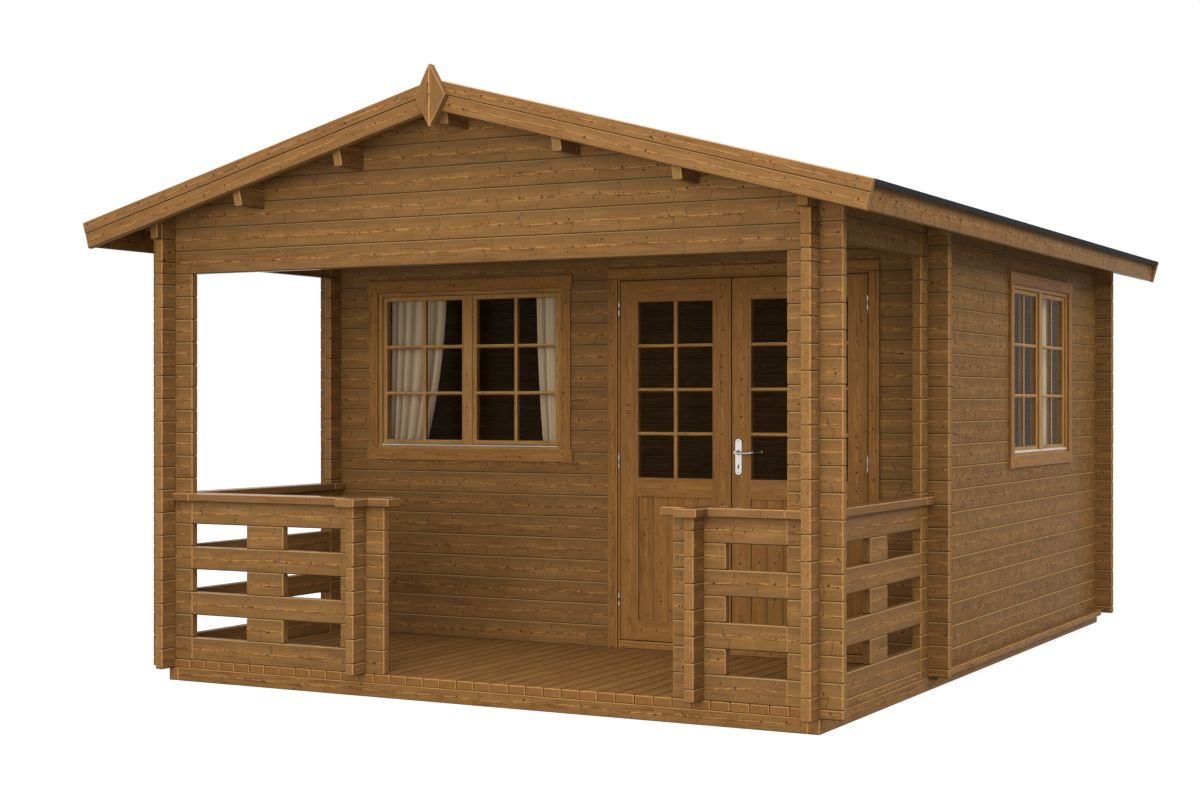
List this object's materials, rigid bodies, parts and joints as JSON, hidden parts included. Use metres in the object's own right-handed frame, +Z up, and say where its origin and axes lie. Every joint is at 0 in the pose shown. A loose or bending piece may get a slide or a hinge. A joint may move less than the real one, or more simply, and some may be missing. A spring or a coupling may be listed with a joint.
{
  "type": "garden log cabin",
  "caption": "Timber log cabin with a low gabled roof, a roofed front porch with open log railings, a glazed double door and two casement windows.",
  "frame": {"origin": "on the ground, at the middle of the whole outline", "axes": "+X to the right as seen from the porch front, +Y to the rear, +Z up"},
  "size_m": [4.4, 5.638, 3.0789],
  "materials": {
    "log_timber": "stained spruce logs, matt",
    "trim_timber": "stained planed boards, matt",
    "joinery_timber": "stained planed joinery, satin",
    "deck_timber": "oiled deck boards, matt",
    "base_timber": "pressure-treated beams, matt",
    "roof_felt": "mineral-faced bitumen felt",
    "glass": "clear pane",
    "satin_metal": "satin",
    "rod_metal": "satin white",
    "curtain_cloth": "soft woven cloth"
  },
  "bodies": {
    "cabin": {"base_side_beams": "base_timber", "base_cross_beams": "base_timber", "foot_strips": "base_timber", "porch_deck": "deck_timber", "cabin_floor": "deck_timber", "front_post_left": "log_timber", "front_post_right": "log_timber", "front_gable": "log_timber", "porch_beam_left": "log_timber", "porch_beam_right": "log_timber", "railing_front_left": "log_timber", "railing_front_right": "log_timber", "railing_side_left": "log_timber", "railing_side_right": "log_timber", "entry_post_left": "log_timber", "entry_post_right": "log_timber", "railing_caps_front": "trim_timber", "railing_caps_side": "trim_timber", "porch_wall_left": "log_timber", "porch_wall_right": "log_timber", "porch_wall_top": "log_timber", "left_wall": "log_timber", "right_wall": "log_timber", "rear_wall": "log_timber", "purlins": "log_timber", "roof_boards_left": "trim_timber", "roof_boards_right": "trim_timber", "roof_felt": "roof_felt", "bargeboards_front": "trim_timber", "bargeboards_rear": "trim_timber", "eave_boards": "trim_timber", "ridge_diamond": "trim_timber", "door_frame": "joinery_timber", "door_casing": "joinery_timber", "frame_hinges": "satin_metal", "window_frames": "joinery_timber", "window_glass": "glass", "window_casings": "joinery_timber", "curtain_rods": "rod_metal", "curtains": "curtain_cloth"},
    "door_left": {"door_leaf_left": "joinery_timber", "door_glass_left": "glass", "leaf_hinges_left": "satin_metal"},
    "door_right": {"door_leaf_right": "joinery_timber", "door_glass_right": "glass", "leaf_hinges_right": "satin_metal", "lock_plates": "satin_metal"},
    "lever": {"door_lever": "satin_metal"}
  },
  "joints": [
    {"name": "door_left_hinge", "type": "hinge", "parent": "cabin", "child": "door_left", "pos_m": [0.0735, -1.013, 1.15], "axis": [0, 0, -1], "range_deg": [0, 100]},
    {"name": "door_right_hinge", "type": "hinge", "parent": "cabin", "child": "door_right", "pos_m": [1.5265, -1.013, 1.15], "axis": [0, 0, 1], "range_deg": [0, 100]},
    {"name": "lever_turn", "type": "hinge", "parent": "door_right", "child": "lever", "pos_m": [0.794, -0.984, 1.207], "axis": [0, 1, 0], "range_deg": [0, 35], "stiffness_Nm_per_rad": 1.2, "springref_deg": -34.38}
  ]
}
